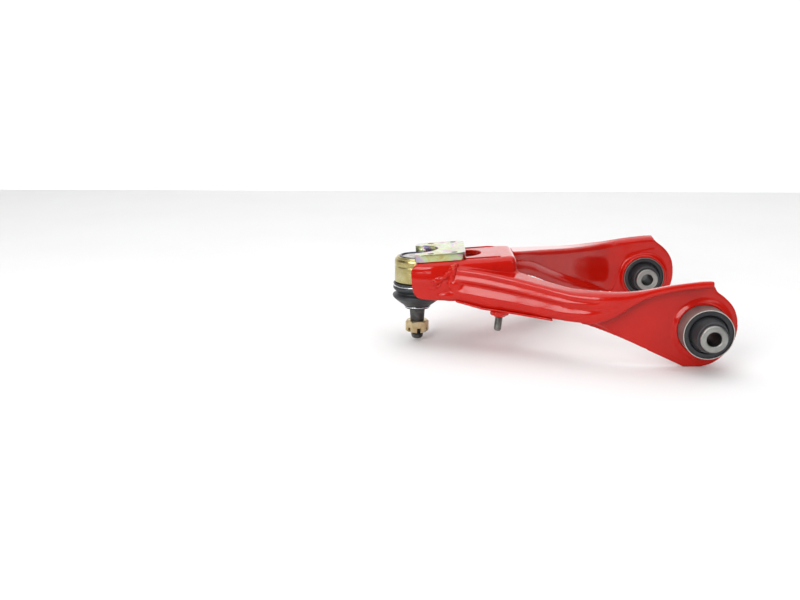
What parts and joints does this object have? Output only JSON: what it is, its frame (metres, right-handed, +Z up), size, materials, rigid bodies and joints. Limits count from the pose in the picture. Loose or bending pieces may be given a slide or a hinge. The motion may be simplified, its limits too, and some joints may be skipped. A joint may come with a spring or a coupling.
{
  "type": "control arm",
  "caption": "Two-legged pressed steel suspension control arm with rubber pivot bushes and a ball joint on an adjustable sliding plate.",
  "frame": {"origin": "middle of the pivot axis, halfway between the two bush eyes", "axes": "+Y along the pivot axis towards the front leg, +X outboard towards the ball joint, +Z up, against the stud"},
  "size_m": [0.2661, 0.26, 0.0806],
  "materials": {
    "red_powder_coat": "glossy red powder coat on steel",
    "dark_steel": "dark phosphate",
    "bush_steel": "dull, slightly browned",
    "sleeve_steel": "turned, bare",
    "rubber": "moulded, matt",
    "yellow_zinc": "yellow passivated zinc with a rainbow cast",
    "clear_zinc": "bright zinc",
    "bronze_zinc": "yellow zinc, worn",
    "cap_steel": "pressed, plain",
    "spring_steel": "blued",
    "seat_plastic": "moulded"
  },
  "bodies": {
    "arm": {"front_leg": "red_powder_coat", "rear_leg": "red_powder_coat", "head": "red_powder_coat", "front_lower_plate": "red_powder_coat", "rear_lower_plate": "red_powder_coat", "weld_beads": "red_powder_coat", "stud_boss": "red_powder_coat", "bracket_stud": "dark_steel", "front_outer_sleeve": "bush_steel", "rear_outer_sleeve": "bush_steel", "front_rubber": "rubber", "rear_rubber": "rubber"},
    "pivot_sleeves": {"front_inner_sleeve": "sleeve_steel", "rear_inner_sleeve": "sleeve_steel"},
    "slider": {"adjuster_plate": "yellow_zinc", "clamp_screws": "dark_steel", "clamp_washers": "clear_zinc", "ball_housing": "yellow_zinc", "ball_seat": "seat_plastic", "pressure_spring": "spring_steel", "top_cap": "cap_steel", "cap_ring": "cap_steel", "boot_upper_ring": "clear_zinc"},
    "ball_cross": {"boot": "rubber"},
    "ball_fork": {"boot_lower_ring": "clear_zinc"},
    "stud": {"ball_stud": "dark_steel", "castle_nut": "bronze_zinc"}
  },
  "joints": [
    {"name": "bush_twist", "type": "hinge", "parent": "arm", "child": "pivot_sleeves", "pos_m": [0, 0, 0], "axis": [0, 1, 0], "range_deg": [-25, 25], "stiffness_Nm_per_rad": 20},
    {"name": "camber_slide", "type": "slide", "parent": "arm", "child": "slider", "axis": [0.9969, 0, -0.0785], "range_m": [-0.02, 0.002]},
    {"name": "stud_tilt_x", "type": "hinge", "parent": "slider", "child": "ball_cross", "pos_m": [0.217, 0.03, 0.031], "axis": [1, 0, 0], "range_deg": [-14, 14], "deforming": ["boot"]},
    {"name": "stud_tilt_y", "type": "hinge", "parent": "ball_cross", "child": "ball_fork", "pos_m": [0.217, 0.03, 0.031], "axis": [0, 1, 0], "range_deg": [-14, 14]},
    {"name": "stud_spin", "type": "hinge", "parent": "ball_fork", "child": "stud", "pos_m": [0.217, 0.03, 0.031], "axis": [0, 0, 1], "continuous": true}
  ]
}
